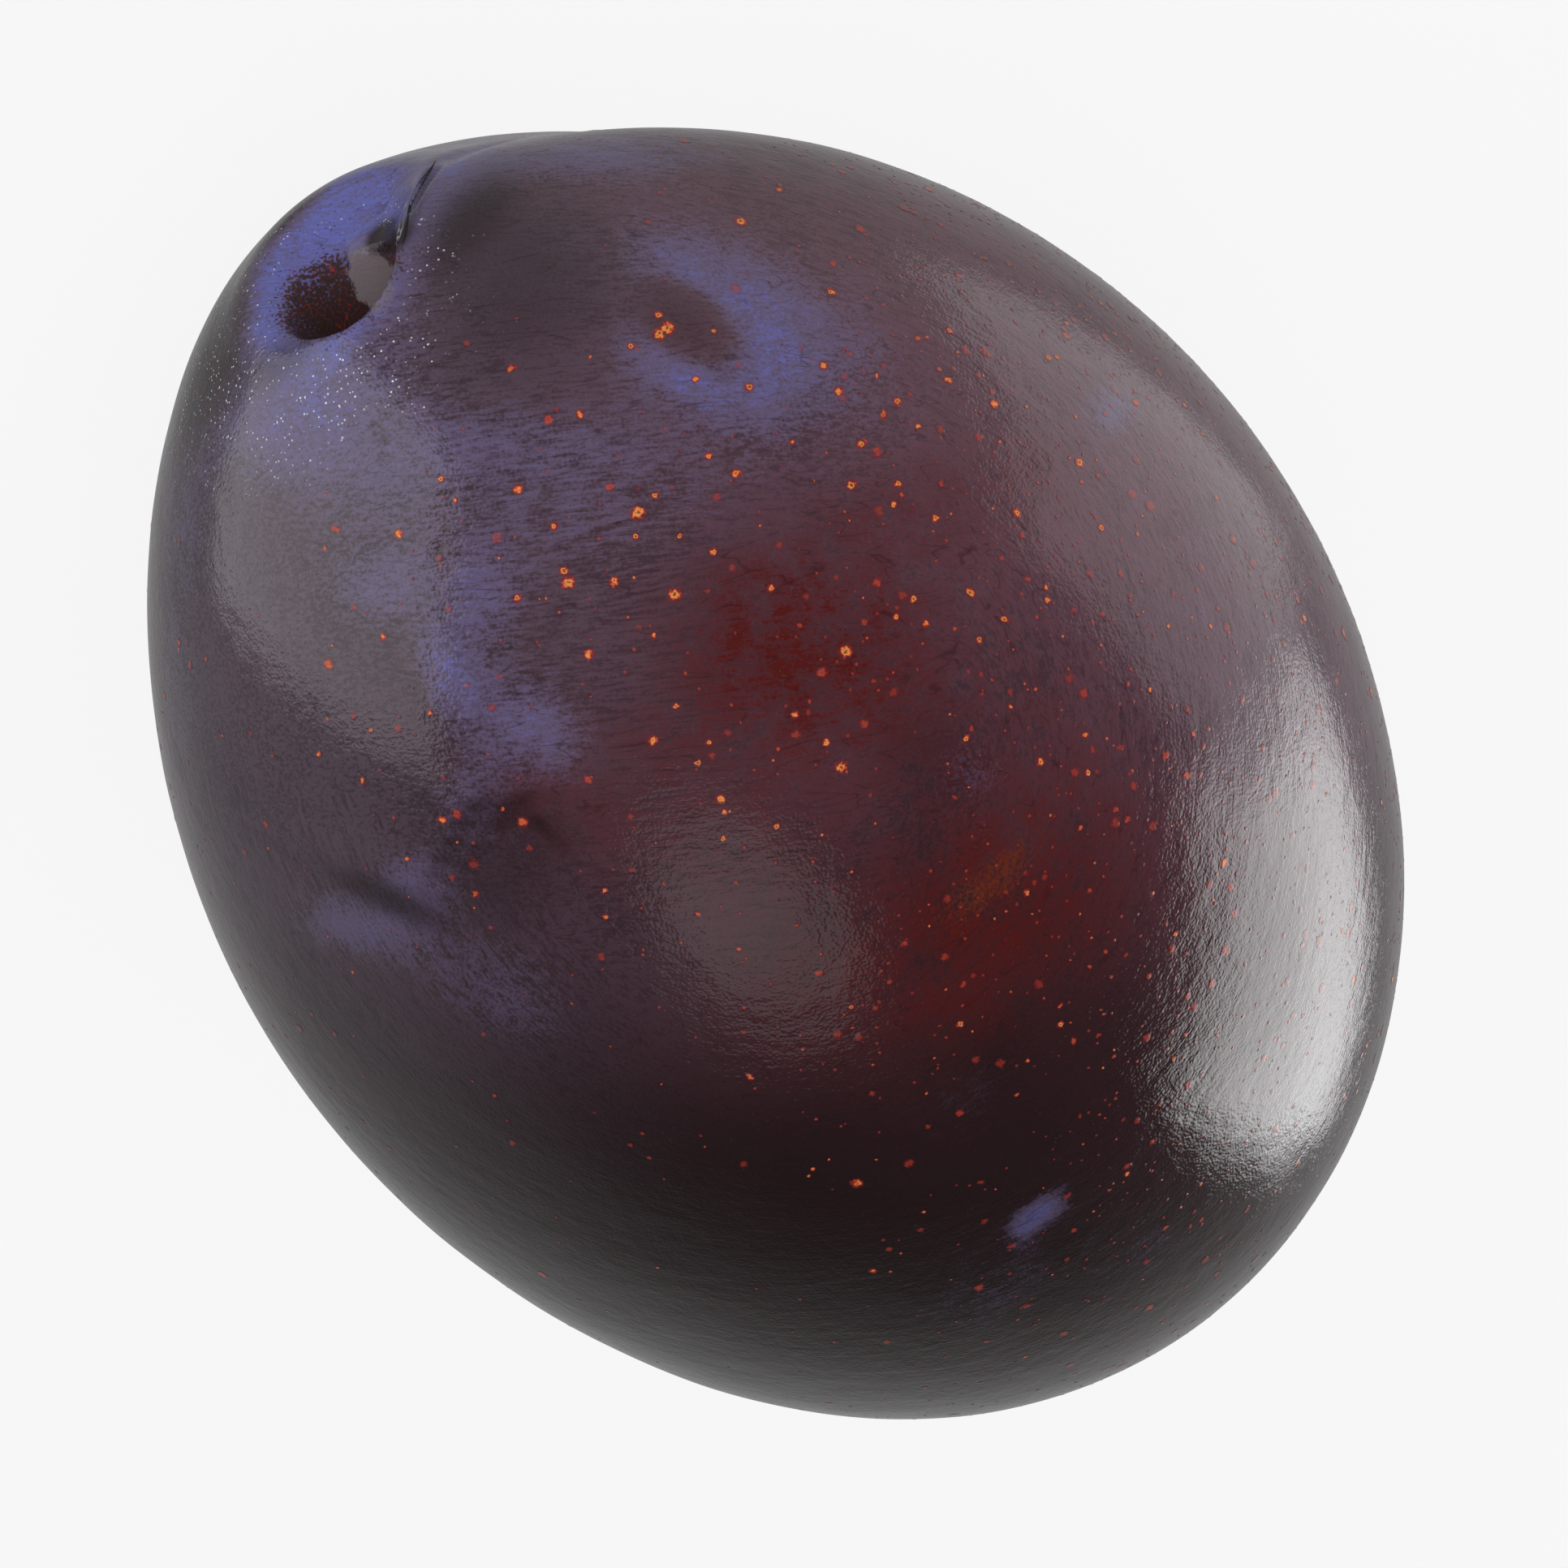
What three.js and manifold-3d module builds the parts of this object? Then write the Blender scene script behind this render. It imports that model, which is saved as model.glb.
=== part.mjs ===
// A ripe oval plum, picked without its stalk and lying on one cheek.
// Millimetres, +Z up. The stalk end points to +X, and the seam runs along the side that faces -Y.
// The origin is on the surface the plum lies on, under the middle of its length and breadth.
import * as THREE from "three";
import { mergeVertices } from "three/addons/utils/BufferGeometryUtils.js";
import Module from "manifold-3d";

// Body: an egg with its round end at the blossom end
const LENGTH = 56; // shoulder to blossom end, before the stalk hollow is sunk in
const THICKNESS = 39.4; // from cheek to cheek
const BREADTH = 40.6; // from the seam side to the back
const TAPER = [1, -0.038, -0.084, -0.104]; // how the girth changes with the cosine of the polar angle
const BELLY_LEAN = -0.6; // the belly swells towards the seam side

// Seam: a shallow valley from the stalk hollow to the blossom end, deepest at the shoulder
const SEAM_ANGLE = 209; // degrees about the long axis, from +Y towards +Z
const SEAM_DEPTH = 0.88;
const SEAM_HALF_WIDTH = 3.1;
const SEAM_STARTS = [3, 12]; // polar angles, degrees, between which the valley forms
const SEAM_EASES = [30, 75]; // and those between which it grows shallow
const SEAM_SHALLOW = 0.25; // share of its depth that is left past the belly
const SEAM_ENDS = [155, 178]; // and those between which it runs out at the blossom end

// Stalk hollow: a wide funnel, and in it a narrower pit where the stalk sat. Each is an oval across the
// long axis, and lean is how far its broad way rises in z for each millimetre of y.
const FUNNEL = { y: -0.28, z: 0.65, lean: 0.37, radiusY: 3.88, radiusZ: 3.18, depth: 1.76 };
const PIT = { y: 0.25, z: 2.1, lean: 0.09, radiusY: 2.35, radiusZ: 2.42, depth: 2.8 };
const PIT_FLOOR = 0.59; // share of the pit's radius that its floor takes
const LIP_HEIGHT = 0.17; // the rim swells this much
const LIP_AT = 1.1; // in funnel radii
const LIP_HALF_WIDTH = 0.35; // in funnel radii

// Blossom end: the dimple round the scar of the flower
const SCAR_RADIUS = 2.4;
const SCAR_DEPTH = 0.35;

// Resting spot: the flat that the fruit's own weight presses into the lower cheek
const REST_DEPTH = 0.35;

// How finely the skin is divided
const RINGS = 56;
const SEGMENTS = 60;
const ENDS_FINER = 0.65; // 0 spaces the rings evenly, 1 would crowd them into the two ends

const SKIN_COLOUR = 0x2f1d27;
const SKIN_ROUGHNESS = 0.38;

const radians = THREE.MathUtils.degToRad;
const { smoothstep } = THREE.MathUtils;

// The polar angle, from the stalk end, of the ring at share v of the way to the blossom end.
function polarAngle(v) {
  return Math.PI * v - (ENDS_FINER * Math.sin(2 * Math.PI * v)) / 2;
}

// The valley's depth at a point of the egg, from its polar angle, its angle about the axis and its radius.
function seamDepth(polar, around, radius) {
  const off = Math.atan2(
    Math.sin(around - radians(SEAM_ANGLE)),
    Math.cos(around - radians(SEAM_ANGLE)),
  );
  const across = (off * Math.max(radius, 1)) / SEAM_HALF_WIDTH;
  const forms = smoothstep(polar, ...SEAM_STARTS.map(radians));
  const eases = smoothstep(polar, ...SEAM_EASES.map(radians));
  const left = 1 - smoothstep(polar, ...SEAM_ENDS.map(radians));
  const deep = SEAM_DEPTH * Math.exp(-across * across);
  return deep * forms * (1 - (1 - SEAM_SHALLOW) * eases) * left;
}

// How far out a point is from the middle of a hollow, in that hollow's own radii.
function shareOut(hollow, y, z) {
  const aside = y - hollow.y;
  const above = z - hollow.z - hollow.lean * aside;
  return Math.hypot(aside / hollow.radiusY, above / hollow.radiusZ);
}

// How far the stalk end is sunk along the axis at a place across it.
function stalkHollow(y, z) {
  const funnelShare = shareOut(FUNNEL, y, z);
  const funnel = FUNNEL.depth * Math.max(1 - funnelShare ** 2, 0) ** 2;
  const pit = PIT.depth * (1 - smoothstep(shareOut(PIT, y, z), PIT_FLOOR, 1));
  const lip = LIP_HEIGHT * Math.exp(-(((funnelShare - LIP_AT) / LIP_HALF_WIDTH) ** 2));
  return funnel + pit - lip;
}

// How far the blossom end is sunk along the axis at a place across it.
function blossomDimple(y, z) {
  const share = Math.hypot(y, z) / SCAR_RADIUS;
  return SCAR_DEPTH * Math.max(1 - share ** 2, 0) ** 2;
}

// A point of the skin, about the middle of the egg.
function skinPoint(polar, around) {
  const c = Math.cos(polar);
  const s = Math.sin(polar);
  const taper = TAPER.reduce((sum, term, power) => sum + term * c ** power, 0);
  const girth = (THICKNESS / 2) * s * taper;
  const radius = girth - seamDepth(polar, around, girth);
  const y = (radius * Math.cos(around) * BREADTH) / THICKNESS + BELLY_LEAN * s * s;
  const z = radius * Math.sin(around);
  const sunk = c > 0 ? stalkHollow(y, z) : -blossomDimple(y, z);
  return new THREE.Vector3((LENGTH / 2) * c - sunk, y, z);
}

// The whole skin: a sphere's grid, its rings crowded towards the ends, with each vertex moved to its place.
function skinGeometry() {
  const geometry = new THREE.SphereGeometry(1, SEGMENTS, RINGS);
  const { position } = geometry.attributes;
  for (let i = 0; i < position.count; i += 1) {
    const ring = Math.floor(i / (SEGMENTS + 1));
    const column = (i % (SEGMENTS + 1)) % SEGMENTS; // the grid's last column is its first
    const point = skinPoint(polarAngle(ring / RINGS), (2 * Math.PI * column) / SEGMENTS);
    position.setXYZ(i, ...point);
  }
  geometry.deleteAttribute("normal");
  geometry.deleteAttribute("uv");
  return mergeVertices(geometry);
}

const wasm = await Module();
wasm.setup();

// A closed geometry as a solid that can be cut.
function solidOf(geometry) {
  const vertProperties = geometry.attributes.position.array;
  const triVerts = new Uint32Array(geometry.index.array);
  return new wasm.Manifold(new wasm.Mesh({ numProp: 3, vertProperties, triVerts }));
}

// A solid as a geometry, with flat shading.
function geometryOf(solid) {
  const { vertProperties, triVerts } = solid.getMesh();
  const geometry = new THREE.BufferGeometry();
  geometry.setAttribute("position", new THREE.BufferAttribute(vertProperties, 3));
  geometry.setIndex(new THREE.BufferAttribute(triVerts, 1));
  geometry.computeVertexNormals();
  return geometry;
}

// Cuts the resting spot, and moves the fruit so that the spot lies on z = 0 round the origin.
function settled(skin) {
  skin.computeBoundingBox();
  const { min, max } = skin.boundingBox;
  const block = new THREE.BoxGeometry(2 * LENGTH, 2 * LENGTH, LENGTH);
  const blockPositions = block.deleteAttribute("normal").deleteAttribute("uv");
  blockPositions.translate(0, 0, min.z + REST_DEPTH - LENGTH / 2);
  const fruit = geometryOf(solidOf(skin).subtract(solidOf(mergeVertices(blockPositions))));
  return fruit.translate(-(min.x + max.x) / 2, -(min.y + max.y) / 2, -(min.z + REST_DEPTH));
}

const skinMaterial = new THREE.MeshStandardMaterial({
  color: SKIN_COLOUR,
  roughness: SKIN_ROUGHNESS,
  metalness: 0,
});

const plum = new THREE.Mesh(settled(skinGeometry()), skinMaterial);
plum.name = "plum";

const part = new THREE.Group();
part.add(plum);

export default part;
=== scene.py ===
"""A ripe oval plum, picked without its stalk and lying on one cheek: dark skin under a rubbed blue bloom."""

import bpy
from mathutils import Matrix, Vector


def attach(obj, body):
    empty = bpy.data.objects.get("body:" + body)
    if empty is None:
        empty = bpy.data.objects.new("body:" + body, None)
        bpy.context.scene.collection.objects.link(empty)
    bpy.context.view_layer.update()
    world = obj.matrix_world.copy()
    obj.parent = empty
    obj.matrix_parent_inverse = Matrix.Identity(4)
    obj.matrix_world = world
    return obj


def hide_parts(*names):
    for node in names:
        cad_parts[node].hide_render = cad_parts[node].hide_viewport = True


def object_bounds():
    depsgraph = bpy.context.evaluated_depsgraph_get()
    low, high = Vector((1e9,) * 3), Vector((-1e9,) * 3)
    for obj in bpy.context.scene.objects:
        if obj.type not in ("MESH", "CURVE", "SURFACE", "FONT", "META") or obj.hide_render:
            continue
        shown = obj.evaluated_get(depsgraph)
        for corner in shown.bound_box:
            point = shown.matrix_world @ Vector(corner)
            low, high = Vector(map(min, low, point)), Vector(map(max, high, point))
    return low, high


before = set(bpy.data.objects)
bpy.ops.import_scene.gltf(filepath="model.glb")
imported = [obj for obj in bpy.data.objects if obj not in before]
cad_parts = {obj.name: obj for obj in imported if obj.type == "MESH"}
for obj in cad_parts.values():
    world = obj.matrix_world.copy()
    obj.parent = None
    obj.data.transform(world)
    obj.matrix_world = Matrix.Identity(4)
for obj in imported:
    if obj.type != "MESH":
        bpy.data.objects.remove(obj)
CAD_LOW, CAD_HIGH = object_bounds()

import ast
import math

import bpy
import numpy as np
from bpy.props import FloatProperty, FloatVectorProperty, IntProperty, PointerProperty
from mathutils import Matrix, Vector
from mathutils.bvhtree import BVHTree

bl_info = {
    "name": "Plum",
    "version": (1, 0, 0),
    "blender": (4, 5, 0),
    "location": "3D View > Sidebar > Plum",
    "description": "Makes a ripe oval plum with its bloom and lenticels",
    "category": "Object",
}

MM = 0.001
IMAGE_SIDE = 1932  # pixels on each side of the photograph's frame

# The view of the photograph, in the frame of the fruit
CAMERA_TILT = 36.82  # degrees from straight above, towards the stalk end
CAMERA_ROLL = 129.89  # degrees from the image's right edge to the stalk end
CAMERA_FIELD = 22  # degrees across the image
CAMERA_SCALE = 34.717  # image pixels for a millimetre at the fruit's middle
CAMERA_CLIP = 0.01  # metres in front of the camera where its view begins
CAMERA_SHIFT = (-15.7, 4.9)  # image pixels that the fruit's middle lies right of and above the image's

# Objects and trees of nodes


def shown(name, data):
    """A new object in the scene."""
    made = bpy.data.objects.new(name, data)
    bpy.context.scene.collection.objects.link(made)
    return made


def cleared(owner):
    """The emptied tree of nodes of a material or world."""
    owner.use_nodes = True
    owner.node_tree.nodes.clear()
    return owner.node_tree


def add(tree, kind, settings=None, links=None):
    """Adds a node, applies its settings, and gives each named input a value or another node's output."""
    made = tree.nodes.new(kind)
    for name, value in (settings or {}).items():
        setattr(made, name, value)
    for name, value in (links or {}).items():
        if isinstance(value, bpy.types.NodeSocket):
            tree.links.new(value, made.inputs[name])
        else:
            made.inputs[name].default_value = value
    return made


def first(tree, kind, settings=None, links=None):
    """Adds a node, and gives its first output."""
    return add(tree, kind, settings, links).outputs[0]


MATH = {
    ast.Add: "ADD",
    ast.Sub: "SUBTRACT",
    ast.Mult: "MULTIPLY",
    ast.Div: "DIVIDE",
    ast.Pow: "POWER",
    "sin": "SINE",
    "cos": "COSINE",
    "exp": "EXPONENT",
    "sqrt": "SQRT",
    "atan2": "ARCTAN2",
    "max": "MAXIMUM",
    "min": "MINIMUM",
    "above": "GREATER_THAN",
    "wrap": "WRAP",
}


def formula(tree, text, **known):
    """Writes a formula as math nodes, and gives back the socket that holds its value."""

    def written(part):
        if isinstance(part, ast.Constant):
            return part.value
        if isinstance(part, ast.Name):
            return known[part.id]
        if isinstance(part, ast.BinOp):
            parts, operation = (part.left, part.right), MATH[type(part.op)]
        elif isinstance(part, ast.UnaryOp):
            parts, operation = (ast.Constant(0.0), part.operand), "SUBTRACT"
        else:
            parts, operation = part.args, MATH.get(part.func.id)
        links = dict(enumerate(written(p) for p in parts))
        if operation is None:  # smoothstep(value, from, to)
            ramp = add(tree, "ShaderNodeMapRange", {"interpolation_type": "SMOOTHSTEP"}, links)
            return ramp.outputs[0]
        return first(tree, "ShaderNodeMath", {"operation": operation}, links)

    return written(ast.parse(text).body[0].value)


def linear(hex_colour):
    """The linear colour, with alpha, of an sRGB hex value such as 0x2f1d27."""
    shares = [(hex_colour >> shift & 255) / 255 for shift in (16, 8, 0)]
    return [s / 12.92 if s <= 0.04045 else ((s + 0.055) / 1.055) ** 2.4 for s in shares] + [1.0]


def new_tree(name, inputs):
    """An empty tree of geometry nodes with named inputs, and the sockets that give them."""
    tree = bpy.data.node_groups.new(name, "GeometryNodeTree")
    tree.interface.new_socket("Geometry", in_out="INPUT", socket_type="NodeSocketGeometry")
    tree.interface.new_socket("Geometry", in_out="OUTPUT", socket_type="NodeSocketGeometry")
    for label, value in inputs.items():
        kind = {int: "NodeSocketInt", float: "NodeSocketFloat"}.get(type(value), "NodeSocketObject")
        tree.interface.new_socket(label, in_out="INPUT", socket_type=kind)
    return tree, tree.nodes.new("NodeGroupInput").outputs


def finish_tree(tree, geometry, material):
    """Ends a tree in real geometry with its material."""
    real = add(tree, "GeometryNodeRealizeInstances", links={0: geometry})
    smooth = add(tree, "GeometryNodeSetShadeSmooth", links={0: real.outputs[0]})
    dressed = add(tree, "GeometryNodeSetMaterial", links={0: smooth.outputs[0], "Material": material})
    add(tree, "NodeGroupOutput", links={0: dressed.outputs[0]})


def grown(tree, name, inputs, start=None):
    """The plain mesh that a tree makes from these inputs and a starting mesh, as an object."""
    holder = shown(name + "_rule", start or bpy.data.meshes.new(name + "_rule"))
    modifier = holder.modifiers.new("rule", "NODES")
    modifier.node_group = tree
    for item in tree.interface.items_tree:
        if item.in_out == "INPUT" and item.name in inputs:
            modifier[item.identifier] = inputs[item.name]
    evaluated = holder.evaluated_get(bpy.context.evaluated_depsgraph_get())
    mesh = bpy.data.meshes.new_from_object(evaluated)
    holder.modifiers.remove(modifier)
    bpy.data.objects.remove(holder)
    mesh.name = name
    return shown(name, mesh)


def per(size):
    """The scale of a pattern whose features are this many millimetres across."""
    return 1 / (size * MM)


# The skin

# Shares and shapes of the skin that stay as they are when its sizes change
TAPER = (-0.038, -0.084, -0.104)  # how the girth changes with powers of the cosine of the polar angle
SEAM_STARTS = (3, 12)  # polar angles, degrees, between which the seam's valley forms
SEAM_EASES = (30, 75)  # and those between which it grows shallow
SEAM_SHALLOW = 0.25  # share of its depth that is left past the belly
SEAM_ENDS = (155, 178)  # and those between which it runs out at the blossom end
FUNNEL = (-0.28 * MM, 0.65 * MM, 0.37, 3.88 * MM, 3.18 * MM)  # middle y, z, rise of z with y, radii
PIT = (0.25 * MM, 2.1 * MM, 0.09, 2.35 * MM, 2.42 * MM)
PIT_FLOOR = 0.59  # share of the pit's radius that its floor takes
LIP_AT = 1.1  # the rim's swelling, in funnel radii
LIP_HALF_WIDTH = 0.35
CRACK = ((-2.6 * MM, 2.1 * MM), (-4.5 * MM, -0.35 * MM))  # y and z of the two ends of the split in the rim
CRACK_HALF_WIDTH = 0.13 * MM
FURROW = ((-4.3 * MM, 0.0), (-7.2 * MM, -3.6 * MM))  # the fold that carries the split on towards the seam
FURROW_HALF_WIDTH = 0.4 * MM
FURROW_SHARE = 0.45  # how deep that fold is, as a share of the split's depth
GROOVE_FADES = ((-0.05, 0.3), (0.6, 1.05))  # shares of their lengths between which both sink and rise
DIMPLE_RADIUS = 2.4 * MM
NUB_RADIUS = 0.45 * MM  # the dry scar of the flower, in the dimple
NUB_HEIGHT = 0.25 * MM
REST_DEPTH = 0.35 * MM  # how far the lower cheek is pressed flat
WAVE_SIZE = 4.5  # millimetres from one low wave of the skin to the next
WRINKLE_SIZE = 0.9  # millimetres from one fine wrinkle to the next
WRINKLE_DISTORTION = 0.4
RINGS = 300
SEGMENTS = 324
ENDS_FINER = 0.65  # 0 spaces the rings evenly, 1 would crowd them into the two ends
SEAL_WITHIN = 0.0001 * MM  # points of the grid's edges that are nearer than this become one


def skin_inputs(sizes):
    """The inputs of the skin's tree: the sizes in the sidebar, by their labels there."""
    return {name.replace("_", " ").capitalize(): getattr(sizes, name) for name in PlumSizes.__annotations__}


def skin_tree(inputs, material):
    """The rule of the skin: a grid rolled into an egg, with its seam, stalk hollow and blossom dimple."""
    tree, given = new_tree("plum skin", inputs)
    counts = {"Size X": 1, "Size Y": 1, "Vertices X": SEGMENTS + 1, "Vertices Y": RINGS + 1}
    grid = add(tree, "GeometryNodeMeshGrid", links=counts)
    here = first(tree, "GeometryNodeInputPosition")
    place = add(tree, "ShaderNodeSeparateXYZ", links={0: here})
    known = {label.lower().replace(" ", "_"): given[label] for label in inputs}
    known.update({"across": place.outputs["X"], "along": place.outputs["Y"], "pi": math.pi})
    known["around"] = formula(tree, "(across + 0.5) * 2 * pi", **known)
    known["v"] = formula(tree, "along + 0.5", **known)
    known["polar"] = formula(tree, f"pi * v - {ENDS_FINER} * sin(2 * pi * v) / 2", **known)
    known["c"] = formula(tree, "cos(polar)", **known)
    known["s"] = formula(tree, "sin(polar)", **known)
    one, two, three = TAPER
    taper = f"(1 + c * ({one} + c * ({two} + c * {three})))"
    known["girth"] = formula(tree, f"thickness / 2 * s * {taper}", **known)
    known["seam"] = seam_valley(tree, known)
    known["radius"] = formula(tree, "girth - seam", **known)
    known["widening"] = formula(tree, "breadth / thickness", **known)
    known["y"] = formula(tree, "radius * cos(around) * widening + belly_lean * s * s", **known)
    known["z"] = formula(tree, "radius * sin(around)", **known)
    known["hollow"] = stalk_hollow(tree, known)
    known["dimple"] = dimple(tree, known)
    known["stalk_end"] = formula(tree, "above(c, 0)", **known)
    x = "length / 2 * c - stalk_end * hollow + (1 - stalk_end) * dimple"
    known["x"] = formula(tree, x, **known)
    egg = {0: known["x"], 1: known["y"], 2: known["z"]}
    point = first(tree, "ShaderNodeCombineXYZ", links=egg)
    placed = {"Geometry": grid.outputs[0], "Position": point}
    rolled = first(tree, "GeometryNodeSetPosition", links=placed)
    sealed = {"Geometry": rolled, "Distance": SEAL_WITHIN}
    closed = first(tree, "GeometryNodeMergeByDistance", links=sealed)
    closed = first(tree, "GeometryNodeFlipFaces", links={0: closed})
    finish_tree(tree, relief(tree, known, closed), material)
    return tree


def seam_valley(tree, known):
    """How deep the seam's valley is at a point of the egg."""
    start, formed = map(math.radians, SEAM_STARTS)
    deep, shallow = map(math.radians, SEAM_EASES)
    ends, gone = map(math.radians, SEAM_ENDS)
    off = formula(tree, "wrap(around - seam_angle, pi, -pi)", **known)
    share = formula(tree, f"off * max(girth, {MM}) / seam_half_width", off=off, **known)
    return formula(
        tree,
        f"seam_depth * exp(-(share * share)) * smoothstep(polar, {start}, {formed})"
        f" * (1 - (1 - {SEAM_SHALLOW}) * smoothstep(polar, {deep}, {shallow}))"
        f" * (1 - smoothstep(polar, {ends}, {gone}))",
        share=share,
        **known,
    )


def share_out(tree, known, hollow):
    """How far out a point is from the middle of a hollow, in that hollow's own radii."""
    y0, z0, lean, radius_y, radius_z = hollow
    aside = formula(tree, f"y - {y0}", **known)
    above = formula(tree, f"z - {z0} - {lean} * aside", aside=aside, **known)
    text = f"sqrt((aside / {radius_y}) ** 2 + (above / {radius_z}) ** 2)"
    return formula(tree, text, aside=aside, above=above)


def groove(tree, known, ends, half_width):
    """A groove of depth 1 along a line across the stalk end, running out at the line's two ends."""
    (y0, z0), (y1, z1) = ends
    long = math.hypot(y1 - y0, z1 - z0)
    ahead, side = (y1 - y0) / long, (z1 - z0) / long
    along = formula(tree, f"(y - {y0}) * {ahead} + (z - {z0}) * {side}", **known)
    off = formula(tree, f"((y - {y0}) * {side} - (z - {z0}) * {ahead}) / {half_width}", **known)
    share = formula(tree, f"along / {long}", along=along)
    (starts, deep), (rises, ends) = GROOVE_FADES
    sinks = f"smoothstep(share, {starts}, {deep}) * (1 - smoothstep(share, {rises}, {ends}))"
    return formula(tree, "exp(-(off * off)) * " + sinks, off=off, share=share)


def stalk_hollow(tree, known):
    """How far the stalk end is sunk along the axis: funnel, pit, swollen rim and the split in it."""
    funnel = share_out(tree, known, FUNNEL)
    return formula(
        tree,
        "funnel_depth * max(1 - funnel * funnel, 0) ** 2"
        f" + pit_depth * (1 - smoothstep(pit, {PIT_FLOOR}, 1))"
        f" - lip_height * exp(-(((funnel - {LIP_AT}) / {LIP_HALF_WIDTH}) ** 2))"
        f" + crack_depth * (crack + {FURROW_SHARE} * furrow)",
        funnel=funnel,
        pit=share_out(tree, known, PIT),
        crack=groove(tree, known, CRACK, CRACK_HALF_WIDTH),
        furrow=groove(tree, known, FURROW, FURROW_HALF_WIDTH),
        **known,
    )


def dimple(tree, known):
    """How far the blossom end is sunk along the axis, less the nub of the flower's scar."""
    off = formula(tree, "y * y + z * z", **known)
    text = (
        f"blossom_dimple * max(1 - off / {DIMPLE_RADIUS ** 2}, 0) ** 2"
        f" - {NUB_HEIGHT} * exp(-off / {NUB_RADIUS ** 2})"
    )
    return formula(tree, text, off=off, **known)


def relief(tree, known, skin):
    """The skin with the low waves that bend its reflections, and fine wrinkles along its fibres."""
    place = first(tree, "GeometryNodeInputPosition")
    broad = {"Vector": place, "Scale": per(WAVE_SIZE), "Detail": 1.0}
    waves = first(tree, "ShaderNodeTexNoise", links=broad)
    fine = {"Vector": along_fibres(tree, place)[1], "Scale": per(WRINKLE_SIZE), "Detail": 2.0}
    fine["Distortion"] = WRINKLE_DISTORTION
    wrinkles = first(tree, "ShaderNodeTexNoise", links=fine)
    text = "unevenness * (waves - 0.5) + wrinkling * (wrinkles - 0.5)"
    rise = formula(tree, text, waves=waves, wrinkles=wrinkles, **known)
    out = first(tree, "GeometryNodeInputNormal")
    shift = add(tree, "ShaderNodeVectorMath", {"operation": "SCALE"}, {0: out, "Scale": rise})
    moved = {"Geometry": skin, "Offset": shift.outputs[0]}
    return first(tree, "GeometryNodeSetPosition", links=moved)


def settled(piece):
    """Moves the grown skin into the CAD box and presses its resting spot flat; gives the egg's middle."""
    co = points_of(piece)
    low, high = co.min(0), co.max(0)
    middle = Vector((CAD_LOW + CAD_HIGH) / 2) - Vector((low + high) / 2)
    middle.z = CAD_LOW.z - float(low[2]) - REST_DEPTH
    co += np.array(middle)
    co[:, 2] = np.maximum(co[:, 2], CAD_LOW.z)
    piece.data.vertices.foreach_set("co", co.ravel())
    piece.data.update()
    return middle


def points_of(piece, what="co"):
    """The places, or with "normal" the normals, of a mesh's vertices as rows."""
    found = np.empty(len(piece.data.vertices) * 3, np.float32)
    piece.data.vertices.foreach_get(what, found)
    return found.reshape(-1, 3)


# The view of the photograph


def view_axes():
    """The camera's right, up and backward directions."""
    tilt, roll = math.radians(CAMERA_TILT), math.radians(CAMERA_ROLL)
    along, across = math.cos(roll), math.sin(roll)
    right = Vector((math.cos(tilt) * along, -across, -math.sin(tilt) * along))
    up = Vector((math.cos(tilt) * across, along, -math.sin(tilt) * across))
    return right, up, Vector((math.sin(tilt), 0, math.cos(tilt)))


def image_depth():
    """The distance from the camera, in image pixels, at which a pixel's side is as long as it is deep."""
    return IMAGE_SIDE / 2 / math.tan(math.radians(CAMERA_FIELD / 2))


def camera_place(middle):
    """Where the camera stands, from the egg's middle."""
    return middle + view_axes()[2] * image_depth() / CAMERA_SCALE * MM


def make_camera(middle):
    """A camera at the photograph's angle, with its frame about the fruit as in the photograph."""
    data = bpy.data.cameras.new("camera")
    data.sensor_fit = "HORIZONTAL"
    data.angle = math.radians(CAMERA_FIELD)
    data.shift_x = -CAMERA_SHIFT[0] / IMAGE_SIDE
    data.shift_y = -CAMERA_SHIFT[1] / IMAGE_SIDE
    data.clip_start = CAMERA_CLIP
    camera = shown("camera", data)
    camera.matrix_world = Matrix(view_axes()).transposed().to_4x4()
    camera.location = camera_place(middle)
    bpy.context.scene.camera = camera


def pixels_of(points, middle):
    """Where points show in the photograph's frame, in its pixels from the top left corner."""
    seen = (points - np.array(middle)) @ np.array(view_axes()).T / MM
    share = image_depth() / (image_depth() / CAMERA_SCALE - seen[:, 2])
    across = IMAGE_SIDE / 2 + CAMERA_SHIFT[0] + share * seen[:, 0]
    down = IMAGE_SIDE / 2 - CAMERA_SHIFT[1] - share * seen[:, 1]
    return across, down


def under_pixel(tree, pixel, middle):
    """The point of a surface that shows at a pixel of the photograph's frame."""
    right, up, back = view_axes()
    across = pixel[0] - IMAGE_SIDE / 2 - CAMERA_SHIFT[0]
    rise = IMAGE_SIDE / 2 - CAMERA_SHIFT[1] - pixel[1]
    ray = right * across + up * rise - back * image_depth()
    return tree.ray_cast(camera_place(middle), ray.normalized())[0]


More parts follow.
